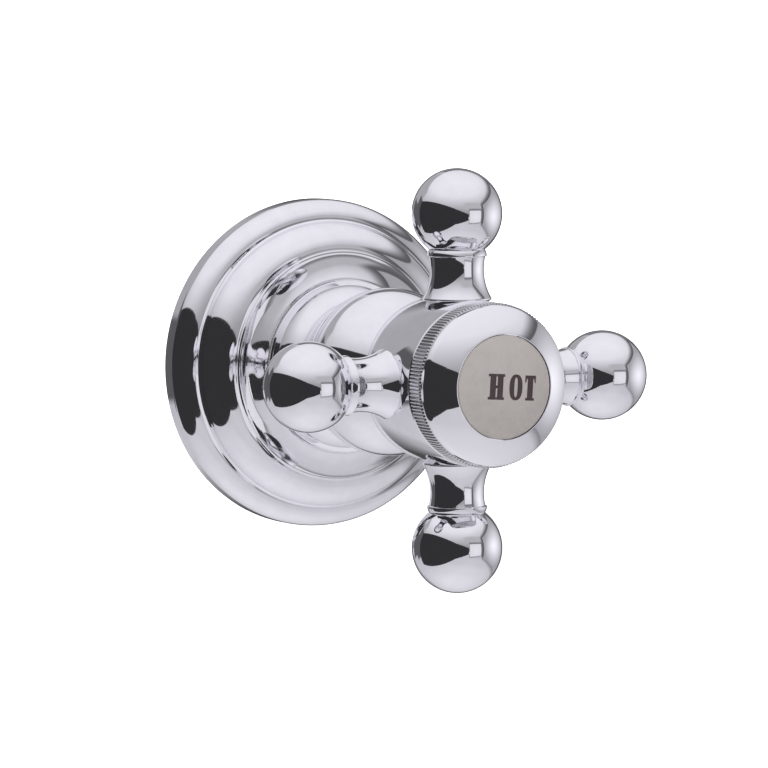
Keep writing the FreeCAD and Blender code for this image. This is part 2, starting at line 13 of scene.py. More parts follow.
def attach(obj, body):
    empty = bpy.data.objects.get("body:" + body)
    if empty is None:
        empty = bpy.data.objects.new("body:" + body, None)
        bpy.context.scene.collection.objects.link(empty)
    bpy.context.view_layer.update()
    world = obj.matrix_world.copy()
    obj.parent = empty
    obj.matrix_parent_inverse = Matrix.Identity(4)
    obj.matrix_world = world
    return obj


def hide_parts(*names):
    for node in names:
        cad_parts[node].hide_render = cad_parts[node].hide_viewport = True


bl_info = {
    "name": "Concealed tap",
    "version": (1, 0, 0),
    "blender": (4, 5, 0),
    "location": "3D View > Sidebar > Tap",
    "description": "Builds the pieces, finishes and studio of a concealed tap",
    "category": "Add Mesh",
}

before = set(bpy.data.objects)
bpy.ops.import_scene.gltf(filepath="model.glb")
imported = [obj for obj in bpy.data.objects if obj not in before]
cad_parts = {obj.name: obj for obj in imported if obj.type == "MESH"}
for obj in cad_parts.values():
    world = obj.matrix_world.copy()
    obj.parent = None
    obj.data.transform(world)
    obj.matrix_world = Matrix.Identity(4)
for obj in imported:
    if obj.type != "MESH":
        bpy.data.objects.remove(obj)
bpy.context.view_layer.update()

MM = 0.001
TAP_AXIS = Vector((0, -1, 0))
LEFT, RIGHT, FRONT, BACK = Vector((-1, 0, 0)), Vector((1, 0, 0)), Vector((0, -1, 0)), Vector((0, 1, 0))
QUARTER = math.radians(90)
ARM_ANGLES = {"arm_right": 0, "arm_top": 90, "arm_left": 180, "arm_bottom": 270}

# Distance at which vertices merge, turn in radians of one step of an arc, and the spacing that
# leaves a straight run without vertices near its ends
TOUCHING = 0.001 * MM
FINEST_TURN = 0.04
BARE = 1


def length(name, default, description):
    """A size of the tap, kept in metres."""
    return FloatProperty(
        name=name, default=default * MM, min=0, unit="LENGTH", precision=5, description=description
    )


def colour(name, default, description):
    """A colour of a finish."""
    return FloatVectorProperty(
        name=name, default=default, size=3, min=0, max=1, subtype="COLOR", description=description
    )


def angle(name, degrees, description):
    """An angle, kept in radians."""
    return FloatProperty(
        name=name, default=math.radians(degrees), unit="ROTATION", description=description
    )


def amount(name, default, description):
    """A number with no unit of its own."""
    return FloatProperty(name=name, default=default, min=0, description=description)


def count(name, default, description):
    """A number of teeth or of faces round a turned piece."""
    return IntProperty(name=name, default=default, min=3, description=description)


# Sizes and colours


class FlangeSizes(bpy.types.PropertyGroup):
    rim_radius: length("Rim radius", 32.5, "Radius of the flange on the wall")
    rim_out: length("Rim height", 2.6, "Height of the straight rim")
    outer_bow: length("Outer band bow", 1.1, "How far the outer band bulges")
    lip_radius: length("Lip radius", 28.5, "Radius of the step between the two bands")
    step_out: length("Step place", 6.6, "Place of the step between the two bands")
    lip_out: length("Lip place", 6.95, "Place of the thin lip at the step")
    step_radius: length("Inner band radius", 28.2, "Radius at which the inner band starts")
    inner_bow: length("Inner band bow", 1.4, "How far the inner band bulges")
    crest_out: length("Crest place", 12.25, "Place at which the inner band ends")
    dish_radius: length("Dish radius", 22.6, "Radius of the dish in the middle")
    dish_out: length("Dish edge place", 12.55, "Place of the dish's outer edge")
    dish_sag: length("Dish sag", 0.3, "Depth of the hollow of the dish")
    seat_radius: length("Seat radius", 17.2, "Radius of the flat seat under the neck")
    seat_out: length("Seat place", 14.05, "Place of the seat under the neck")
    hole_radius: length("Hole radius", 14.05, "Radius of the hole for the neck's skirt")
    wall: length("Wall", 1.2, "Thickness of the pressed sheet")
    slope_wall: length("Slope wall", 0.9, "Thickness of the sheet across its sloping bands")
    round: length("Edge rounding", 0.16, "Rounding of the flange's edges")
    facets: count("Facets", 224, "Number of faces round the flange")


class NeckSizes(bpy.types.PropertyGroup):
    skirt_out: length("Skirt place", 10.15, "Place of the back end of the skirt")
    skirt_radius: length("Skirt radius", 13.9, "Radius of the skirt inside the flange's hole")
    mouth_radius: length("Mouth radius", 12.6, "Radius of the bore inside the skirt")
    bore_radius: length("Bore radius", 10.2, "Radius of the bore behind the thread")
    foot_back: length("Foot back", 14.65, "Place of the back of the foot")
    foot_front: length("Foot front", 15.55, "Place of the front of the foot")
    foot_radius: length("Foot radius", 17.0, "Radius of the foot ring")
    face_radius: length("Foot face radius", 15.9, "Radius at which the foot's flat face ends")
    waist_bow: length("Waist bow", 1.15, "How far the flare is hollowed")
    waist_out: length("Waist place", 20.8, "Place of the waist")
    waist_radius: length("Waist radius", 12.7, "Radius of the waist")
    swell_out: length("Swell place", 25.5, "Place at which the waist meets the bulge")
    swell_radius: length("Swell radius", 14.45, "Radius at which the waist meets the bulge")
    shoulder_out: length("Shoulder place", 39.0, "Place of the shoulder")
    shoulder_radius: length("Shoulder radius", 14.6, "Radius of the shoulder")
    nose_out: length("Nose place", 49.15, "Place at which the straight nose starts")
    nose_radius: length("Nose radius", 10.9, "Radius of the nose inside the guide ring")
    nose_front: length("Nose front", 52.75, "Place of the front of the nose")
    thread_radius: length("Thread radius", 9.55, "Radius of the thread on the barrel")
    thread_back: length("Thread back", 39.25, "Place of the back end of the thread")
    thread_pitch: length("Thread pitch", 1.0, "Distance from one thread to the next")
    thread_depth: length("Thread depth", 0.4, "Depth of the thread's grooves")
    round: length("Edge rounding", 0.22, "Rounding of the neck's edges")
    facets: count("Facets", 176, "Number of faces round the neck")


class HubSizes(bpy.types.PropertyGroup):
    back_out: length("Hub back", 51.55, "Place of the back of the hub")
    radius: length("Hub radius", 15.7, "Radius of the hub")
    back_round: length("Back rounding", 1.0, "Rounding of the hub's back edge")
    shoulder_out: length("Shoulder place", 69.45, "Place at which the ring meets the hub")
    front_out: length("Spigot front", 73.85, "Place of the front of the threaded spigot")
    spigot_radius: length("Spigot radius", 13.35, "Radius of the threaded spigot")
    cavity_radius: length("Cavity radius", 10.4, "Radius of the cavity under the index")
    web_out: length("Web front", 65.95, "Place of the web's front face")
    web_back: length("Web back", 64.15, "Place of the web's back face")
    screw_hole_radius: length("Screw hole radius", 2.25, "Radius of the hole for the screw")
    bush_radius: length("Bush radius", 6.0, "Radius of the bore for the splined bush")
    recess_out: length("Recess place", 53.55, "Place of the recess's floor")
    recess_radius: length("Recess radius", 12.53, "Radius of the guide ring's recess")
    thread_pitch: length("Thread pitch", 0.9, "Distance from one thread to the next")
    thread_depth: length("Thread depth", 0.25, "Depth of the thread's grooves")
    round: length("Edge rounding", 0.12, "Rounding of the hub's small edges")
    facets: count("Facets", 176, "Number of faces round the hub")


class ArmSizes(bpy.types.PropertyGroup):
    plane_out: length("Arm plane", 59.85, "Place of the arms' axes")
    seat_radius: length("Seat radius", 5.2, "Radius of the seat inside the hub's surface")
    seat_out: length("Seat place", 14.5, "Distance of the seat from the tap's axis")
    base_radius: length("Base radius", 6.6, "Radius of the flared base over the hub")
    base_back: length("Base back", 15.6, "Distance of the rim's back from the tap's axis")
    base_out: length("Base edge", 15.8, "Distance of the base's edge from the tap's axis")
    neck_end: length("Neck end", 23.7, "Distance at which the hollow neck ends")
    neck_end_radius: length("Neck end radius", 5.4, "Radius of the neck under the lip")
    neck_sag: length("Neck sag", 0.75, "How far the neck is drawn in")
    lip_slope: length("Lip slope", 0.15, "Length of the lip's face")
    lip_radius: length("Lip radius", 5.72, "Radius of the sharp lip")
    lip_bow: length("Lip bow", 0.08, "How far the lip's outer face bulges")
    ball_start: length("Ball start", 25.076, "Distance at which the ball starts")
    throat_radius: length("Throat radius", 5.35, "Radius at which the ball starts")
    ball_centre: length("Ball centre", 31.86, "Distance of the ball's centre")
    ball_radius: length("Ball radius", 8.64, "Radius of the ball")
    ball_finest: length("Ball step", 0.3, "Longest step along the ball's outline")
    round: length("Edge rounding", 0.12, "Rounding of the base's edge and the lip")
    facets: count("Facets", 128, "Number of faces round each arm")


class RingSizes(bpy.types.PropertyGroup):
    knurl_radius: length("Knurl radius", 15.65, "Radius over the teeth of the knurl")
    knurl_out: length("Knurl front", 73.75, "Place of the front end of the knurl")
    knurl_depth: length("Knurl depth", 0.28, "Depth of the grooves between the teeth")
    knurl_edge: length("Knurl chamfer", 0.3, "Chamfer at the ends of the teeth")
    teeth: count("Knurl teeth", 144, "Number of teeth round the ring")
    edge_out: length("Crown edge place", 75.35, "Place at which the rounded edge ends")
    edge_radius: length("Crown edge radius", 14.65, "Radius at which that edge ends")
    crown_bow: length("Crown bow", 0.2, "How far the crown's parts bulge")
    lip_width: length("Lip width", 0.12, "Width of the bright lip round the index")
    lip_round: length("Lip rounding", 0.05, "Rounding of the lip's outer edge")
    bore_radius: length("Index bore radius", 10.0, "Radius of the bore that holds the index")
    front_out: length("Ring front", 78.25, "Place of the ring's front")
    shelf_out: length("Shelf place", 76.05, "Place of the shelf under the index")
    web_back: length("Web back", 74.25, "Place of the back of the web under the shelf")
    web_radius: length("Web hole radius", 8.9, "Radius of the hole in the web")
    thread_radius: length("Thread radius", 13.4, "Radius of the thread on the hub")


class IndexSizes(bpy.types.PropertyGroup):
    radius: length("Index radius", 9.85, "Radius of the ceramic index")
    rim_out: length("Rim place", 78.2, "Place of the edge of the domed face")
    dome_rise: length("Dome rise", 0.43, "Height of the dome above its edge")
    edge_round: length("Edge rounding", 0.2, "Rounding of the glazed edge")
    spigot_radius: length("Spigot radius", 7.4, "Radius of the spigot in the rubber ring")
    spigot_back: length("Spigot back", 73.45, "Place of the back of the spigot")
    shelf_out: length("Shelf place", 76.05, "Place of the back of the index's flange")
    facets: count("Facets", 144, "Number of faces round the index")
    ink_height: length("Lettering height", 0.018, "How far the fired lettering stands proud")
    ink_shift: length("Lettering shift", 1.5, "How far the word sits right of the middle")
    ink_turn: angle("Lettering turn", -3.6, "Turn of the word on the face, anticlockwise")


class Finishes(bpy.types.PropertyGroup):
    chrome: colour("Chrome", (0.87, 0.86, 0.895), "Colour of the polished chrome")
    brass: colour("Brass", (0.62, 0.43, 0.19), "Colour of the bare brass")
    index_glaze: colour("Index glaze", (0.54, 0.5, 0.465), "Colour of the glazed index")
    lettering: colour("Lettering", (0.045, 0.022, 0.026), "Colour of the fired lettering")
    valve_ceramic: colour("Valve ceramic", (0.86, 0.84, 0.79), "Colour of the ported discs")
    rubber: colour("Rubber", (0.018, 0.018, 0.019), "Colour of the rubber rings")
    nylon: colour("Nylon", (0.78, 0.77, 0.72), "Colour of the nylon rings")
    fibre: colour("Fibre", (0.36, 0.05, 0.025), "Colour of the fibre washer")
    steel: colour("Steel", (0.56, 0.55, 0.53), "Colour of the stainless steel pieces")


class StudioSizes(bpy.types.PropertyGroup):
    azimuth: angle("Camera azimuth", -28.102, "Turn of the camera from straight in front")
    elevation: angle("Camera elevation", 4.285, "Angle of the camera above the horizon")
    roll: angle("Camera roll", 0.097, "Turn of the camera about its own view")
    distance: length("Camera distance", 1140.715, "Distance of the camera from the handle")
    aim_out: length("Aim place", 59.909, "Place on the axis that sets the camera")
    shift_left: length("Camera shift left", 13.904, "How far the camera sits left of that place")
    shift_down: length("Camera shift down", 0.548, "How far the camera sits below that place")
    lens: amount("Lens", 281.25, "Focal length in mm")
    floor_drop: length("Floor drop", 500, "Depth of the floor under the tap's axis")
    floor_radius: length("Floor radius", 60000, "Radius of the round floor")
    tent_radius: length("Tent radius", 5000, "Radius of the light tent")
    lamp_size: length("Lamp size", 1200, "Width of the soft lamp")
    lamp_power: amount("Lamp power", 5, "Power of the soft lamp on the matt pieces")
    white_level: amount("White level", 1.1, "Brightness of the white surroundings")


# Turned pieces


class HalfSection:
    """Half section of a turned piece, drawn with its radius along X and the tap's axis along Y."""

    def __init__(self, out, radius):
        self.mesh = bmesh.new()
        self.tip = self.mesh.verts.new((radius, -out, 0))
        self.heading = 0.0
        self.corners = []

    def step_to(self, x, y):
        """Add a vertex to the section and move the tip there."""
        stepped = bmesh.ops.extrude_vert_indiv(self.mesh, verts=[self.tip])
        self.tip = stepped["verts"][0]
        self.tip.co = (x, y, 0)

    def corner(self, size):
        """Round the corner at the tip when the section is done."""
        self.corners.append((self.tip, size))
        return self

    def line(self, out, radius, spacing=0.24 * MM):
        """Straight run. A vertex near each end keeps its shading flat, unless the run is bare."""
        start = self.tip.co.copy()
        end = Vector((radius, -out, 0))
        run = end - start
        if run.length > 2.5 * spacing:
            near = run.normalized() * spacing
            self.step_to(*(start + near).xy)
            self.step_to(*(end - near).xy)
        self.step_to(*end.xy)
        self.heading = math.atan2(run.y, run.x)
        return self

    def bow(self, out, radius, height, finest=0.45 * MM):
        """Arc whose middle stands this high to the left of the way the section runs."""
        start = self.tip.co.copy()
        chord = Vector((radius, -out, 0)) - start
        half_turn = 2 * math.atan(2 * height / chord.length)
        arc_radius = chord.length / (2 * math.sin(half_turn))
        to_side = Vector((-chord.y, chord.x, 0)).normalized()
        centre = start + chord / 2 - to_side * arc_radius * math.cos(half_turn)
        by_length = math.ceil(abs(2 * half_turn * arc_radius) / finest)
        steps = max(4, by_length, math.ceil(abs(half_turn) / FINEST_TURN))
        swept = bmesh.ops.spin(
            self.mesh,
            geom=[self.tip],
            cent=centre,
            axis=(0, 0, 1),
            angle=-2 * half_turn,
            steps=steps,
            use_merge=False,
            use_duplicate=False,
        )
        self.tip = [v for v in swept["geom_last"] if isinstance(v, bmesh.types.BMVert)][0]
        self.heading = math.atan2(chord.y, chord.x) - half_turn
        return self

    def glide(self, out, radius):
        """Arc that carries on smoothly from the run before it."""
        chord = Vector((radius, -out, 0)) - self.tip.co
        angle = self.heading - math.atan2(chord.y, chord.x)
        angle = math.atan2(math.sin(angle), math.cos(angle))
        return self.bow(out, radius, chord.length / 2 * math.tan(angle / 2))

    def threads(self, out, radius, pitch, depth):
        """Straight run cut with thread grooves."""
        start = self.tip.co.copy()
        run = Vector((radius, -out, 0)) - start
        turns = max(1, round(run.length / pitch))
        side = Vector((-run.y, run.x, 0)).normalized() * depth
        crest_and_root = ((0.15, 0), (0.5, 1), (0.65, 1), (1.0, 0))
        for groove in range(turns):
            for share, drop in crest_and_root:
                place = start + run * ((groove + share) / turns) - side * drop
                self.step_to(*place.xy)
        return self

    def spin(self, steps):
        """Round the noted corners and turn the section about the tap's axis."""
        sizes = sorted({size for _, size in self.corners})
        for size in sizes:
            bmesh.ops.bevel(
                self.mesh,
                geom=[vertex for vertex, asked in self.corners if asked == size],
                offset=size,
                offset_type="OFFSET",
                segments=4,
                profile=0.5,
                affect="VERTICES",
                material=-1,
                clamp_overlap=True,
            )
        bmesh.ops.spin(
            self.mesh,
            geom=self.mesh.verts[:] + self.mesh.edges[:],
            cent=(0, 0, 0),
            axis=(0, 1, 0),
            angle=2 * math.pi,
            steps=steps,
            use_merge=True,
            use_duplicate=False,
        )
        bmesh.ops.remove_doubles(self.mesh, verts=self.mesh.verts[:], dist=TOUCHING)
        bmesh.ops.recalc_face_normals(self.mesh, faces=self.mesh.faces[:])
        return self.mesh


def put_in_scene(name, data):
    """Add an object to the scene."""
    item = bpy.data.objects.new(name, data)
    bpy.context.scene.collection.objects.link(item)
    return item


def to_object(mesh, name, material):
    """Turn a bmesh into an object of the scene."""
    data = bpy.data.meshes.new(name)
    mesh.to_mesh(data)
    mesh.free()
    data.materials.append(material)
    return put_in_scene(name, data)


def finish_piece(mesh, name, body, material, nodes=(), crease=35):
    """Turn a bmesh into a piece of the tap, smooth except at its creases."""
    for face in mesh.faces:
        face.smooth = True
    limit = math.radians(crease)
    for edge in mesh.edges:
        edge.smooth = len(edge.link_faces) == 2 and edge.calc_face_angle(0) < limit
    piece = to_object(mesh, name, material)
    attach(piece, body)
    if nodes:
        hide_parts(*nodes)


def chrome_piece(mesh, name, body, node, finish="polished_chrome", crease=35):
    """Turn a bmesh into a chromed piece that takes the place of one node."""
    finish_piece(mesh, name, body, materials()[finish], [node], crease)


# Finishes


class Nodes:
    """A material worked out on Object coordinates."""

    def __init__(self, name):
        self.material = bpy.data.materials.new(name)
        self.material.use_nodes = True
        self.tree = self.material.node_tree

    def link(self, out_socket, in_socket):
        """Join two sockets."""
        self.tree.links.new(out_socket, in_socket)

    def add(self, kind, *sources, **settings):
        """Add a node with these settings, its first inputs joined to these sockets."""
        node = self.tree.nodes.new("ShaderNode" + kind)
        for setting, value in settings.items():
            setattr(node, setting, value)
        for source, socket in zip(sources, node.inputs):
            self.link(source, socket)
        return node

    def place(self):
        """The place on the piece."""
        return self.add("TexCoord").outputs["Object"]

    def parts(self):
        """The place on the piece along each axis."""
        return self.add("SeparateXYZ", self.place()).outputs

    def math(self, operation, *sources):
        """Result of a sum on values."""
        return self.add("Math", *sources, operation=operation).outputs["Value"]

    def reach(self, axes):
        """The distance from the middle along two axes together."""
        parts = self.parts()
        squares = [self.math("MULTIPLY", parts[axis], parts[axis]) for axis in axes]
        return self.math("SQRT", self.math("ADD", *squares))

    def span(self, source, start, end, low, high, interpolation="LINEAR"):
        """Value that goes from low to high while another goes from start to end."""
        node = self.add("MapRange", source, interpolation_type=interpolation)
        for socket, value in zip(node.inputs[1:5], (start, end, low, high)):
            socket.default_value = value
        return node.outputs["Result"]

    def ramp(self, factor, stops):
        """Colours laid along a factor, as (place, colour) pairs."""
        node = self.add("ValToRGB", factor)
        scale = node.color_ramp
        while len(scale.elements) < len(stops):
            scale.elements.new(0.5)
        for element, (place, tint) in zip(scale.elements, stops):
            element.position = place
            element.color = (*tint, 1)
        return node.outputs["Color"]


class Finish(Nodes):
    """Finish of a piece of the tap."""

    def __init__(self, name):
        super().__init__(name)
        self.shader = self.tree.nodes["Principled BSDF"]
        self.normal = None

    def set(self, **values):
        """Set inputs of the shader, with _ for the spaces in their names."""
        for socket, value in values.items():
            self.shader.inputs[socket.replace("_", " ")].default_value = value
        return self

    def noise(self, grain, detail=2.0, stretch=(1, 1, 1), distortion=0.0):
        """Noise whose features are about this size in metres."""
        mapping = self.add("Mapping", self.place())
        mapping.inputs["Scale"].default_value = stretch
        texture = self.add("TexNoise", mapping.outputs["Vector"])
        texture.inputs["Scale"].default_value = 1 / grain
        texture.inputs["Detail"].default_value = detail
        texture.inputs["Distortion"].default_value = distortion
        return texture.outputs["Fac"]

    def across(self, colour, axis, reach, low, high):
        """Colour that brightens along an axis, from one side of the piece to the other, as painted light:
        one side lit and the other shaded.
        """
        scaled = self.add("VectorMath", colour, operation="SCALE")
        self.link(self.span(self.parts()[axis], -reach, reach, low, high), scaled.inputs["Scale"])
        return scaled.outputs["Vector"]

    def roughness(self, factor, low, high, start=0.3, end=0.7):
        """Let the roughness follow a factor, over the range of most noise if none is given."""
        self.link(self.span(factor, start, end, low, high), self.shader.inputs["Roughness"])

    def bump(self, factor, depth, strength=1.0):
        """Raise and lower the surface by a factor, on top of the bumps before it."""
        node = self.add("Bump")
        node.inputs["Strength"].default_value = strength
        node.inputs["Distance"].default_value = depth
        self.link(factor, node.inputs["Height"])
        if self.normal:
            self.link(self.normal, node.inputs["Normal"])
        self.normal = node.outputs["Normal"]
        self.link(self.normal, self.shader.inputs["Normal"])

    def colour(self, socket):
        """Use a colour as the surface's own."""
        self.link(socket, self.shader.inputs["Base Color"])


def shade(tint, factor):
    """A colour made darker or lighter."""
    return tuple(min(1.0, part * factor) for part in tint)


def polished_chrome(tint, name="polished_chrome"):
    """Bright chrome with the slight waviness of hand polishing and a faint haze."""
    finish = Finish(name).set(Metallic=1.0)
    haze = finish.noise(2.6 * MM, 3.0)
    finish.colour(finish.ramp(haze, ((0.3, shade(tint, 0.97)), (0.7, shade(tint, 1.02)))))
    finish.roughness(finish.noise(0.35 * MM, 4.0), 0.025, 0.06)
    finish.bump(finish.noise(7.0 * MM, 1.0), 0.004 * MM)
    finish.bump(finish.noise(0.22 * MM, 2.0, (1, 3.5, 1)), 0.00012 * MM)
    return finish


def knurled_chrome(tint, ring):
    """Chrome whose cut grooves are duller than the polished crests: rougher, and darkened to half the tint
    as painted shade in the grooves.
    """
    finish = polished_chrome(tint, "knurled_chrome")
    middle = ring.knurl_radius - ring.knurl_depth / 2
    depth = finish.span(finish.reach("XZ"), middle, ring.knurl_radius, 1, 0)
    soft_end = 0.1 * MM
    band = finish.span(finish.parts()["Y"], -ring.knurl_out, soft_end - ring.knurl_out, 0, 1)
    groove = finish.math("MULTIPLY", depth, band)
    # Painted shade: the colour falls to half the tint down in the grooves
    finish.colour(finish.ramp(groove, ((0, tint), (1, shade(tint, 0.5)))))
    finish.roughness(groove, 0.045, 0.22, 0, 1)


def glazed_ceramic(name, tint, gloss):
    """Ceramic with a slightly clouded body under a clear glaze, with painted light that makes it brighter
    towards the top and darker towards the bottom.
    """
    finish = Finish(name).set(Coat_Weight=gloss, Coat_Roughness=0.04, IOR=1.5)
    clouds = finish.noise(2.4 * MM, 4.0, distortion=0.4)
    stops = ((0.3, shade(tint, 0.94)), (0.5, tint), (0.75, shade(tint, 1.04)))
    # Painted light: the colour runs from 0.9 of itself at the bottom to 1.1 at the top
    finish.colour(finish.across(finish.ramp(clouds, stops), "Z", 10 * MM, 0.9, 1.1))
    finish.roughness(finish.noise(0.5 * MM, 3.0), 0.16, 0.3)
    finish.bump(finish.noise(1.8 * MM, 2.0), 0.004 * MM)


# Plain finishes: which colour they have, inputs of the shader, the noise and the shades of the
# tint, the noise and the limits of the roughness, the noise of the bumps, and their depth
PLAIN_FINISHES = {
    "turned_brass": (
        "brass", {"Metallic": 1.0},
        (5 * MM, 5, (1, 1, 1), 0.6), ((0.32, 0.72), (0.5, 1), (0.72, 1.12)),
        (0.8 * MM, 5), (0.2, 0.42), (0.12 * MM, 3, (1, 6, 1)), (0.004 * MM, 0.6),
    ),
    "fired_lettering": (
        "lettering", {"Coat_Weight": 0.4, "Coat_Roughness": 0.08},
        (0.3 * MM, 4), ((0.3, 0.75), (0.55, 1), (0.8, 2.1)),
        (0.2 * MM,), (0.3, 0.5), (0.15 * MM, 3), (0.002 * MM,),
    ),
    "soft_rubber": (
        "rubber", {"Specular_IOR_Level": 0.35},
        (1.2 * MM, 5), ((0.35, 0.8), (0.75, 2)),
        (0.4 * MM, 4), (0.45, 0.7), (0.1 * MM, 3), (0.003 * MM,),
    ),
    "moulded_nylon": (
        "nylon", {"Subsurface_Weight": 0.15, "Subsurface_Scale": 0.6 * MM},
        (1.6 * MM, 3), ((0.3, 0.93), (0.7, 1.03)),
        (0.5 * MM, 3), (0.35, 0.5), (0.2 * MM, 3), (0.002 * MM,),
    ),
    "pressed_fibre": (
        "fibre", {"Specular_IOR_Level": 0.25},
        (0.25 * MM, 6, (1, 4, 1), 0.8), ((0.3, 0.6), (0.5, 1), (0.75, 1.5)),
        (0.3 * MM, 4), (0.7, 0.9), (0.25 * MM, 6, (1, 4, 1), 0.8), (0.012 * MM,),
    ),
    "turned_steel": (
        "steel", {"Metallic": 1.0},
        (0.15 * MM, 3, (1, 5, 1)), ((0.3, 0.9), (0.7, 1.05)),
        (0.4 * MM, 4), (0.18, 0.34), (0.15 * MM, 3, (1, 5, 1)), (0.002 * MM,),
    ),
}


def plain_finish(name, tint, inputs, clouds, shades, patches, limits, grain, depth):
    """Finish with a clouded tint, a roughness that varies and a fine grain."""
    finish = Finish(name).set(**inputs)
    tinted = [(place, shade(tint, factor)) for place, factor in shades]
    finish.colour(finish.ramp(finish.noise(*clouds), tinted))
    finish.roughness(finish.noise(*patches), *limits)
    finish.bump(finish.noise(*grain), *depth)


def materials():
    """The finishes by name, made once. Their names differ from those of the frame's own slots."""
    if "polished_chrome" not in bpy.data.materials:
        tints = bpy.context.scene.tap_finishes
        polished_chrome(tints.chrome)
        knurled_chrome(tints.chrome, bpy.context.scene.tap_ring)
        glazed_ceramic("glazed_index", tints.index_glaze, 0.5)
        glazed_ceramic("lapped_ceramic", tints.valve_ceramic, 0.1)
        for name, (tint, *recipe) in PLAIN_FINISHES.items():
            plain_finish(name, getattr(tints, tint), *recipe)
    return bpy.data.materials


# Pieces


class TAP_OT_wall_flange(bpy.types.Operator):
    """Make the stepped wall flange"""

    bl_idname = "tap.wall_flange"
    bl_label = "Wall flange"

    def execute(self, context):
        size = context.scene.tap_flange
        section = HalfSection(0, size.rim_radius)
        section.corner(size.round).line(size.rim_out, size.rim_radius)
        section.bow(size.step_out, size.lip_radius, size.outer_bow).corner(size.round / 2)
        section.line(size.lip_out, size.step_radius).corner(size.round / 2)
        section.bow(size.crest_out, size.dish_radius, size.inner_bow).corner(size.round)
        section.line(size.dish_out, size.dish_radius).corner(size.round / 2)
        section.bow(size.seat_out, size.seat_radius, -size.dish_sag)
        section.line(size.seat_out, size.hole_radius).corner(size.round)
        section.line(size.seat_out - size.wall, size.hole_radius)
        section.line(size.seat_out - size.wall, size.seat_radius)
        section.line(size.dish_out - size.wall, size.dish_radius - size.slope_wall)
        section.bow(size.step_out - size.wall, size.lip_radius - size.slope_wall, -size.outer_bow)
        section.bow(size.rim_out, size.rim_radius - size.wall, -size.outer_bow)
        section.line(0, size.rim_radius - size.wall).corner(size.round).line(0, size.rim_radius)
        chrome_piece(section.spin(size.facets), "flange", "valve", "wall_flange")
        return {"FINISHED"}


class TAP_OT_neck(bpy.types.Operator):
    """Make the waisted neck with its foot ring and threaded bore"""

    bl_idname = "tap.neck"
    bl_label = "Neck"

    def execute(self, context):
        size = context.scene.tap_neck
        section = HalfSection(size.skirt_out, size.mouth_radius)
        section.line(size.skirt_out, size.skirt_radius).corner(size.round)
        section.line(size.foot_back, size.skirt_radius)
        section.line(size.foot_back, size.foot_radius).corner(size.round / 2)
        section.line(size.foot_front, size.foot_radius).corner(size.round)
        section.line(size.foot_front, size.face_radius)
        section.bow(size.waist_out, size.waist_radius, -size.waist_bow)
        section.glide(size.swell_out, size.swell_radius)
        section.glide(size.shoulder_out, size.shoulder_radius)
        section.glide(size.nose_out, size.nose_radius)
        section.line(size.nose_front, size.nose_radius).corner(size.round)
        section.line(size.nose_front, size.thread_radius).corner(size.round)
        section.threads(size.thread_back, size.thread_radius, size.thread_pitch, -size.thread_depth)
        section.line(size.thread_back, size.bore_radius)
        section.line(size.foot_front, size.bore_radius)
        section.line(size.foot_front, size.mouth_radius)
        section.line(size.skirt_out, size.mouth_radius)
        chrome_piece(section.spin(size.facets), "neck", "valve", "shroud")
        return {"FINISHED"}


class TAP_OT_hub(bpy.types.Operator):
    """Make the drum that carries the arms"""

    bl_idname = "tap.hub"
    bl_label = "Handle hub"

    def execute(self, context):
        size = context.scene.tap_hub
        section = HalfSection(size.back_out, size.recess_radius).corner(size.round)
        section.line(size.back_out, size.radius).corner(size.back_round)
        section.line(size.shoulder_out, size.radius).corner(size.round * 2)
        section.line(size.shoulder_out, size.spigot_radius)
        section.threads(size.front_out, size.spigot_radius, size.thread_pitch, size.thread_depth)
        section.line(size.front_out, size.cavity_radius).corner(size.round)
        section.line(size.web_out, size.cavity_radius)
        section.line(size.web_out, size.screw_hole_radius)
        section.line(size.web_back, size.screw_hole_radius)
        section.line(size.web_back, size.bush_radius)
        section.line(size.recess_out, size.bush_radius)
        section.line(size.recess_out, size.recess_radius)
        section.line(size.back_out, size.recess_radius)
        chrome_piece(section.spin(size.facets), "hub", "handle", "handle_hub")
        return {"FINISHED"}


class TAP_OT_arms(bpy.types.Operator):
    """Make the four ball-ended arms, each seated on the hub"""

    bl_idname = "tap.arms"
    bl_label = "Arms"

    def execute(self, context):
        size = context.scene.tap_arms
        for name, angle in ARM_ANGLES.items():
            section = HalfSection(size.seat_out, 0)
            section.line(size.seat_out, size.seat_radius)
            section.line(size.base_back, size.base_radius).corner(size.round)
            section.line(size.base_out, size.base_radius).corner(size.round)
            section.bow(size.neck_end, size.neck_end_radius, -size.neck_sag)
            section.line(size.neck_end + size.lip_slope, size.lip_radius).corner(size.round)
            section.bow(size.ball_start, size.throat_radius, size.lip_bow)
            throat_angle = math.asin(size.throat_radius / size.ball_radius)
            sweep = math.pi - throat_angle
            chord = 2 * size.ball_radius * math.sin(sweep / 2)
            rise = chord / 2 * math.tan(sweep / 4)
            section.bow(size.ball_centre + size.ball_radius, 0, rise, size.ball_finest)
            mesh = section.spin(size.facets)
            lie_down = Matrix.Rotation(QUARTER, 4, "Z")
            about_tap = Matrix.Rotation(math.radians(angle), 4, TAP_AXIS)
            along_tap = Matrix.Translation(TAP_AXIS * size.plane_out)
            mesh.transform(along_tap @ about_tap @ lie_down)
            chrome_piece(mesh, name + "_turned", "handle", name)
        return {"FINISHED"}


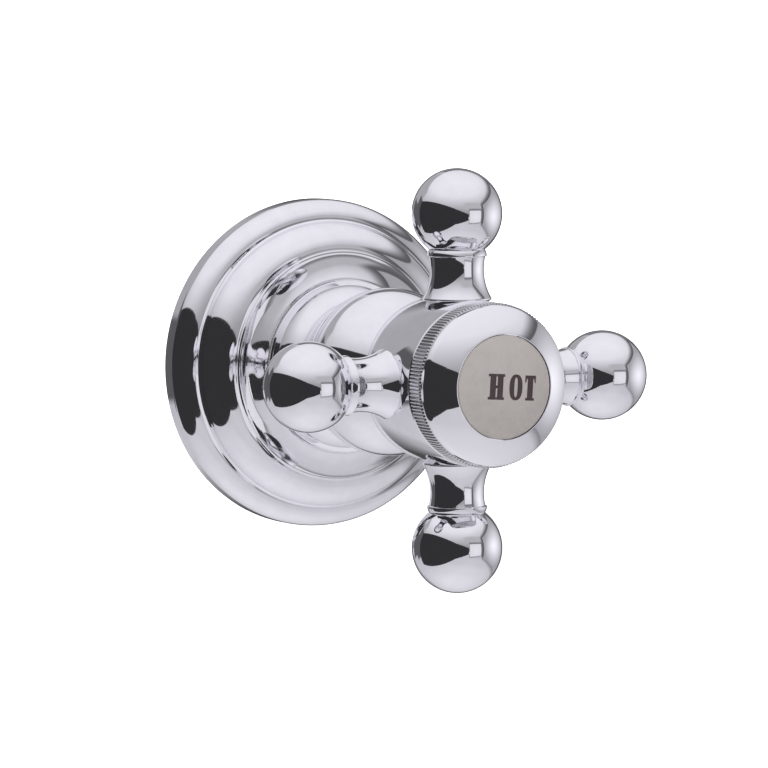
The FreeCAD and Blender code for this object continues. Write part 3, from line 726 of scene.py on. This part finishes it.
class TAP_OT_knurled_ring(bpy.types.Operator):
    """Make the screwed ring with its cut knurl and domed crown"""

    bl_idname = "tap.knurled_ring"
    bl_label = "Knurled ring"

    def execute(self, context):
        size = context.scene.tap_ring
        back = context.scene.tap_hub.shoulder_out
        section = HalfSection(back, size.thread_radius)
        section.line(back, size.knurl_radius - size.knurl_edge)
        section.line(back + size.knurl_edge, size.knurl_radius, BARE)
        section.line(size.knurl_out - size.knurl_edge, size.knurl_radius, BARE)
        section.line(size.knurl_out, size.knurl_radius - size.knurl_edge, BARE)
        section.bow(size.edge_out, size.edge_radius, size.crown_bow)
        section.bow(size.front_out, size.bore_radius + size.lip_width, size.crown_bow)
        section.corner(size.lip_round).line(size.front_out, size.bore_radius)
        section.line(size.shelf_out, size.bore_radius)
        section.line(size.shelf_out, size.web_radius)
        section.line(size.web_back, size.web_radius)
        section.line(size.web_back, size.thread_radius)
        section.line(back, size.thread_radius)
        drops = (0, 0, size.knurl_depth / 2, size.knurl_depth, size.knurl_depth / 2)
        mesh = section.spin(len(drops) * size.teeth)
        step = 2 * math.pi / (len(drops) * size.teeth)
        for vertex in mesh.verts:
            radius = math.hypot(vertex.co.x, vertex.co.z)
            if radius > size.knurl_radius - TOUCHING:
                drop = drops[round(math.atan2(vertex.co.z, vertex.co.x) / step) % len(drops)]
                share = (size.knurl_radius - drop) / size.knurl_radius
                vertex.co = Vector((vertex.co.x * share, vertex.co.y, vertex.co.z * share))
        chrome_piece(mesh, "ring", "handle", "knurled_ring", "knurled_chrome", crease=20)
        return {"FINISHED"}


# Outlines of the word's letters, in millimetres from its lower left corner
LETTER_H = (
    (0.02, 0), (1.82, 0), (1.82, 0.5), (1.64, 0.5), (1.64, 2.15), (1.96, 2.15), (1.96, 0.5),
    (1.78, 0.5), (1.78, 0), (3.5, 0), (3.5, 0.5), (3.18, 0.5), (3.18, 4.35), (3.5, 4.35),
    (3.5, 4.85), (1.78, 4.85), (1.78, 4.35), (1.96, 4.35), (1.96, 2.7), (1.64, 2.7),
    (1.64, 4.35), (1.82, 4.35), (1.82, 4.85), (0.02, 4.85), (0.02, 4.35), (0.4, 4.35),
    (0.4, 0.5), (0.02, 0.5),
)
LETTER_T = (
    (8.1, 0), (10.02, 0), (10.02, 0.48), (9.68, 0.48), (9.68, 4.15), (9.82, 4.15), (10.06, 3.3),
    (10.24, 3.34), (10.24, 4.72), (7.9, 4.72), (7.9, 3.34), (8.08, 3.3), (8.32, 4.15),
    (8.46, 4.15), (8.46, 0.48), (8.1, 0.48),
)
O_MIDDLE = (5.95, 2.42)
O_RINGS = ((1.42, 2.44, 0.72, 0.6), (0.36, 1.86, 0.8, 0.6))
WORD_MIDDLE = (5.13, 2.45)
LONGEST_INK_EDGE = 0.5


def sharp_letter(letters, corners):
    """Add a letter with straight edges to a flat curve."""
    spline = letters.splines.new("POLY")
    spline.points.add(len(corners) - 1)
    for point, place in zip(spline.points, corners):
        point.co = (*place, 0, 1)
    spline.use_cyclic_u = True


def round_letter(letters, middle, half_width, half_height, along_side, along_end):
    """Add a tall ring to a flat curve, whose handles are this long at its sides and its ends."""
    spline = letters.splines.new("BEZIER")
    spline.bezier_points.add(3)
    for point, (x, y) in zip(spline.bezier_points, ((1, 0), (0, 1), (-1, 0), (0, -1))):
        place = Vector((middle[0] + x * half_width, middle[1] + y * half_height, 0))
        along = Vector((-y * along_end * half_width, x * along_side * half_height, 0))
        point.handle_left_type = point.handle_right_type = "FREE"
        point.co, point.handle_left, point.handle_right = place, place - along, place + along
    spline.resolution_u = 12
    spline.use_cyclic_u = True


class TAP_OT_index(bpy.types.Operator):
    """Make the domed ceramic index and its fired word"""

    bl_idname = "tap.index"
    bl_label = "Ceramic index"

    def execute(self, context):
        size = context.scene.tap_index
        dome_radius = (size.radius**2 + size.dome_rise**2) / (2 * size.dome_rise)
        section = HalfSection(size.spigot_back, 0)
        section.line(size.spigot_back, size.spigot_radius).corner(size.edge_round)
        section.line(size.shelf_out, size.spigot_radius)
        section.line(size.shelf_out, size.radius).corner(size.edge_round)
        section.line(size.rim_out, size.radius, BARE).corner(size.edge_round)
        chord = math.hypot(size.radius, size.dome_rise)
        bulge = dome_radius - math.sqrt(dome_radius**2 - chord**2 / 4)
        section.bow(size.rim_out + size.dome_rise, 0, bulge)
        glaze = materials()["glazed_index"]
        finish_piece(section.spin(size.facets), "index", "handle", glaze, ["index_disc"])

        letters = bpy.data.curves.new("word", "CURVE")
        letters.dimensions = "2D"
        letters.fill_mode = "BOTH"
        sharp_letter(letters, LETTER_H)
        for ring in O_RINGS:
            round_letter(letters, O_MIDDLE, *ring)
        sharp_letter(letters, LETTER_T)
        holder = bpy.data.objects.new("word", letters)
        flat = bpy.data.meshes.new_from_object(holder)
        word = bmesh.new()
        word.from_mesh(flat)
        bpy.data.objects.remove(holder)
        bpy.data.meshes.remove(flat)
        bmesh.ops.remove_doubles(word, verts=word.verts[:], dist=0.001)
        bmesh.ops.triangulate(word, faces=word.faces[:])
        for _ in range(2):
            long_edges = [edge for edge in word.edges if edge.calc_length() > LONGEST_INK_EDGE]
            bmesh.ops.subdivide_edges(word, edges=long_edges, cuts=1)
            bmesh.ops.triangulate(word, faces=word.faces[:])
        centred = Matrix.Scale(MM, 4) @ Matrix.Translation((-WORD_MIDDLE[0], -WORD_MIDDLE[1], 0))
        upright = Matrix.Rotation(QUARTER, 4, "X") @ Matrix.Rotation(size.ink_turn, 4, "Z")
        word.transform(Matrix.Translation((size.ink_shift, 0, 0)) @ upright @ centred)
        top = size.rim_out + size.dome_rise
        for vertex in word.verts:
            away = vertex.co.x**2 + vertex.co.z**2
            drop = dome_radius - math.sqrt(dome_radius**2 - away)
            vertex.co.y = -(top - drop + size.ink_height)
        bmesh.ops.recalc_face_normals(word, faces=word.faces[:])
        if sum(face.normal.y for face in word.faces) > 0:
            bmesh.ops.reverse_faces(word, faces=word.faces[:])
        skin = bmesh.ops.extrude_face_region(word, geom=word.faces[:])
        lowered = [v for v in skin["geom"] if isinstance(v, bmesh.types.BMVert)]
        bmesh.ops.translate(word, verts=lowered, vec=(0, 2 * size.ink_height, 0))
        bmesh.ops.recalc_face_normals(word, faces=word.faces[:])
        finish_piece(word, "word_hot", "handle", materials()["fired_lettering"])
        return {"FINISHED"}


class TAP_OT_inner_pieces(bpy.types.Operator):
    """Give the pieces inside the tap and in the wall their finishes"""

    bl_idname = "tap.inner_pieces"
    bl_label = "Inner pieces"

    def execute(self, context):
        finishes = {
            "turned_brass": ("valve_body", "headwork_housing", "spindle", "stop_ring", "spline_bush"),
            "soft_rubber": ("seat_seal", "spindle_oring_1", "spindle_oring_2", "wall_seal", "index_oring"),
            "lapped_ceramic": ("fixed_ceramic_disc", "moving_ceramic_disc"),
            "pressed_fibre": ("body_washer",),
            "moulded_nylon": ("thrust_washer", "foot_washer", "glide_ring"),
            "turned_steel": ("retaining_clip", "handle_screw", "screw_washer"),
        }
        for finish, nodes in finishes.items():
            for node in nodes:
                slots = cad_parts[node].data.materials
                slots.clear()
                slots.append(materials()[finish])
        return {"FINISHED"}


# Studio


def even(level):
    """The same level all over a card."""
    return ((0, level), (1, level))


# Cards in metres: the way each one faces, its place across the studio, its span and height, its
# levels from rim to middle, the shares of it that fade out, and a taper towards one end
DARK, GREY = even(0.034), even(0.11)
CARDS = (
    ("dark_opening", RIGHT, -0.6, (-1.0, 0.62), (-0.49, 0.32), DARK, (0.01, 0.03)),
    ("dark_corner", BACK, -1.0, (-0.61, 0.03), (-0.49, 0.31), DARK, (0.01, 0.02), 0.3),
    ("dim_side", FRONT, 1.05, (-1.1, -0.55), (-0.49, 0.6), GREY, (0.1, 0.2)),
    ("dim_back", FRONT, 1.06, (-0.65, -0.1), (-0.33, 0.28), GREY, (0.2, 0.2)),
    ("back_veil", FRONT, 1.3, (-1.3, 0.45), (0.15, 1.3), even(0.42), (0.3, 0.3)),
    ("front_frame", BACK, -0.92, (0.03, 0.82), (-0.38, 0.28), even(0.2), (0.06, 0.3)),
    ("front_card", BACK, -0.9, (0.045, 0.61), (-0.30, 0.175), ((0, 0.8), (1, 0.88)), (0.08, 0.1)),
    ("front_haze", BACK, -0.93, (-0.3, 1.0), (0.14, 0.56), even(0.5), (0.5, 0.6)),
    (
        "side_light", LEFT, 0.6, (-0.69, 0.34), (-0.36, 0.32),
        ((0, 0.4), (0.2, 0.52), (0.5, 0.75), (0.75, 0.95), (1, 1.1)), (0.02, 0.03),
    ),
    ("side_edge", LEFT, 0.63, (-0.95, 0.75), (-0.49, 0.52), even(0.12), (0.2, 0.35)),
    ("back_wall", FRONT, 1.1, (0.3, 1.6), (0.03, 1.0), even(0.18), (0.1, 0.2)),
    ("back_low", FRONT, 1.12, (0.15, 1.6), (-0.49, 0.05), even(0.2), (0.1, 0.05)),
    (
        "back_middle", FRONT, 0.5, (-0.1, 0.85), (-0.49, 0.36),
        ((0, 0.45), (0.2, 0.25), (0.45, 0.08), (1, 0.05)), (0.25, 0.25),
    ),
)
TENT_LEVELS = ((0.5, 0.34), (0.6, 0.4), (0.68, 0.53), (0.75, 0.66), (0.85, 0.86), (1, 0.93))
COOL_WHITE = (1.005, 1.0, 1.05)
FLOOR_TINTS = ((0.3, (0.76, 0.76, 0.77)), (0.7, (0.79, 0.79, 0.8)))
# Painted light on the floor: glow levels against a quarter of the distance from the middle, a pool round
# the tap, none further out and white far away
FLOOR_GLOW = ((0.1, 0.32), (0.15, 0.12), (0.22, 0.02), (0.35, 0), (0.6, 0), (0.72, 0.95))
GLOW_REACH = 4
LAMP_PLACE = Vector((-0.7, -1.5, 1.1))
LAMP_TINT = (1.0, 0.985, 0.96)


class Glow(Nodes):
    """Glowing material of the light tent."""

    def __init__(self, name):
        super().__init__(name)
        self.tree.nodes.clear()
        self.light = self.add("Emission")
        self.output = self.add("OutputMaterial", self.light.outputs["Emission"])

    def follow(self, source, stops):
        """Let the brightness follow a value, as (place, level) pairs."""
        tints = [(place, [level * part for part in COOL_WHITE]) for place, level in stops]
        self.link(self.ramp(source, tints), self.light.inputs["Color"])

    def fade(self, soft_x, soft_y):
        """Fade the card out towards its edges, over these shares of its half width and height."""
        fades = []
        for axis, soft in (("X", soft_x), ("Y", soft_y)):
            reach = self.math("ABSOLUTE", self.parts()[axis])
            fades.append(self.span(reach, 1 - soft, 1, 1, 0, "SMOOTHSTEP"))
        clear = self.add("BsdfTransparent").outputs["BSDF"]
        light = self.light.outputs["Emission"]
        mixed = self.add("MixShader", self.math("MULTIPLY", *fades), clear, light)
        self.link(mixed.outputs["Shader"], self.output.inputs["Surface"])

    def middle(self):
        """Value that falls from 1 in the middle of the card to 0 at a unit's distance."""
        return self.span(self.reach("XY"), 0, 1, 1, 0)


def staged(name, mesh, material):
    """Turn a bmesh into an object of the studio round the tap."""
    item = to_object(mesh, name, material)
    return item


def hang_card(name, facing, place, span, height, levels, soft, taper=1):
    """Upright card of the light tent, which shows only in reflections."""
    mesh = bmesh.new()
    bmesh.ops.create_grid(mesh, x_segments=1, y_segments=1, size=1)
    for corner in mesh.verts:
        if corner.co.x < 0:
            corner.co.y *= taper
    glow = Glow(name)
    glow.follow(glow.middle(), levels)
    glow.fade(*soft)
    panel = staged(name, mesh, glow.material)
    panel.visible_camera = panel.visible_diffuse = panel.visible_shadow = False
    (start, end), (bottom, top) = span, height
    panel.scale = ((end - start) / 2, (top - bottom) / 2, 1)
    middle = (start + end) / 2
    across = (place, middle) if facing.x else (middle, place)
    panel.location = (*across, (bottom + top) / 2)
    panel.rotation_euler = facing.to_track_quat("Z", "Y").to_euler()


def put_up_tent(radius):
    """Dome of the light tent, whose brightness changes with its height."""
    mesh = bmesh.new()
    bmesh.ops.create_icosphere(mesh, subdivisions=4, radius=radius)
    glow = Glow("tent")
    glow.follow(glow.span(glow.parts()["Z"], -radius, radius, 0, 1), TENT_LEVELS)
    staged("tent", mesh, glow.material).visible_camera = False


def lay_floor(radius, drop):
    """Pale floor with a painted pool of light: it glows round the tap, not at middle distance, and glows
    white far away.
    """
    mesh = bmesh.new()
    bmesh.ops.create_circle(mesh, cap_ends=True, segments=96, radius=radius)
    bmesh.ops.translate(mesh, verts=mesh.verts[:], vec=(0, 0, -drop))
    acrylic = Finish("pale_floor").set(Roughness=0.6, Emission_Strength=1.0)
    acrylic.colour(acrylic.ramp(acrylic.noise(0.4), FLOOR_TINTS))
    away = acrylic.add("VectorMath", acrylic.place(), operation="LENGTH")
    pool = acrylic.span(away.outputs["Value"], 0, GLOW_REACH, 0, 1)
    stops = [(place, (level, level, level)) for place, level in FLOOR_GLOW]
    acrylic.link(acrylic.ramp(pool, stops), acrylic.shader.inputs["Emission Color"])
    staged("floor", mesh, acrylic.material)


def hang_lamp(width, power):
    """Large soft lamp at the front left, for the pieces that aren't chromed."""
    lamp = bpy.data.lights.new("soft_light", "AREA")
    lamp.size = width
    lamp.energy = power
    lamp.color = LAMP_TINT
    soft_light = put_in_scene("soft_light", lamp)
    soft_light.location = LAMP_PLACE
    soft_light.rotation_euler = LAMP_PLACE.to_track_quat("Z", "Y").to_euler()
    soft_light.visible_glossy = False


def set_camera(size):
    """Long-lens camera at the place from which the photograph was taken."""
    sine, cosine = math.sin(size.azimuth), math.cos(size.azimuth)
    level = math.cos(size.elevation)
    away = Vector((sine * level, -cosine * level, math.sin(size.elevation)))
    beside = Vector((cosine, sine, 0))
    above = away.cross(beside)
    lens = bpy.data.cameras.new("camera")
    lens.lens = size.lens
    lens.sensor_width = 36
    lens.clip_end = 100
    camera = put_in_scene("camera", lens)
    turned = Matrix((beside, above, away)).transposed().to_4x4()
    camera.matrix_world = Matrix.Rotation(-size.roll, 4, away) @ turned
    place = TAP_AXIS * size.aim_out + away * size.distance
    camera.location = place - beside * size.shift_left - above * size.shift_down
    bpy.context.scene.camera = camera


class TAP_OT_stage(bpy.types.Operator):
    """Make the floor, the white surroundings, the cards of the light tent and the camera"""

    bl_idname = "tap.stage"
    bl_label = "Studio"

    def execute(self, context):
        size = context.scene.tap_studio
        context.scene.view_settings.view_transform = "Standard"
        world = bpy.data.worlds.new("white_surroundings")
        context.scene.world = world
        world.use_nodes = True
        sky = world.node_tree.nodes["Background"]
        sky.inputs["Color"].default_value = (1, 1, 1, 1)
        sky.inputs["Strength"].default_value = size.white_level
        lay_floor(size.floor_radius, size.floor_drop)
        put_up_tent(size.tent_radius)
        for card in CARDS:
            hang_card(*card)
        hang_lamp(size.lamp_size, size.lamp_power)
        set_camera(size)
        return {"FINISHED"}


PIECES = (
    TAP_OT_wall_flange, TAP_OT_neck, TAP_OT_hub, TAP_OT_arms, TAP_OT_knurled_ring, TAP_OT_index,
    TAP_OT_inner_pieces, TAP_OT_stage,
)
GROUPS = {
    "tap_flange": FlangeSizes,
    "tap_neck": NeckSizes,
    "tap_hub": HubSizes,
    "tap_arms": ArmSizes,
    "tap_ring": RingSizes,
    "tap_index": IndexSizes,
    "tap_finishes": Finishes,
    "tap_studio": StudioSizes,
}


class TAP_PT_pieces(bpy.types.Panel):
    """List of the tap's pieces and sizes"""

    bl_label = "Concealed tap"
    bl_space_type = "VIEW_3D"
    bl_region_type = "UI"
    bl_category = "Tap"

    def draw(self, context):
        for operator in PIECES:
            self.layout.operator(operator.bl_idname)
        for name in GROUPS:
            sizes = getattr(context.scene, name)
            box = self.layout.box()
            box.label(text=type(sizes).__name__)
            for prop in sizes.bl_rna.properties:
                if prop.identifier not in ("rna_type", "name"):
                    box.prop(sizes, prop.identifier)


def register():
    for name, group in GROUPS.items():
        bpy.utils.register_class(group)
        setattr(bpy.types.Scene, name, PointerProperty(type=group))
    for operator in PIECES:
        bpy.utils.register_class(operator)
    bpy.utils.register_class(TAP_PT_pieces)


def unregister():
    bpy.utils.unregister_class(TAP_PT_pieces)
    for operator in reversed(PIECES):
        bpy.utils.unregister_class(operator)
    for name, group in reversed(GROUPS.items()):
        delattr(bpy.types.Scene, name)
        bpy.utils.unregister_class(group)


def main():
    register()
    bpy.ops.tap.stage()
    bpy.ops.tap.wall_flange()
    bpy.ops.tap.neck()
    bpy.ops.tap.hub()
    bpy.ops.tap.arms()
    bpy.ops.tap.knurled_ring()
    bpy.ops.tap.index()
    bpy.ops.tap.inner_pieces()


if __name__ == "__main__":
    main()
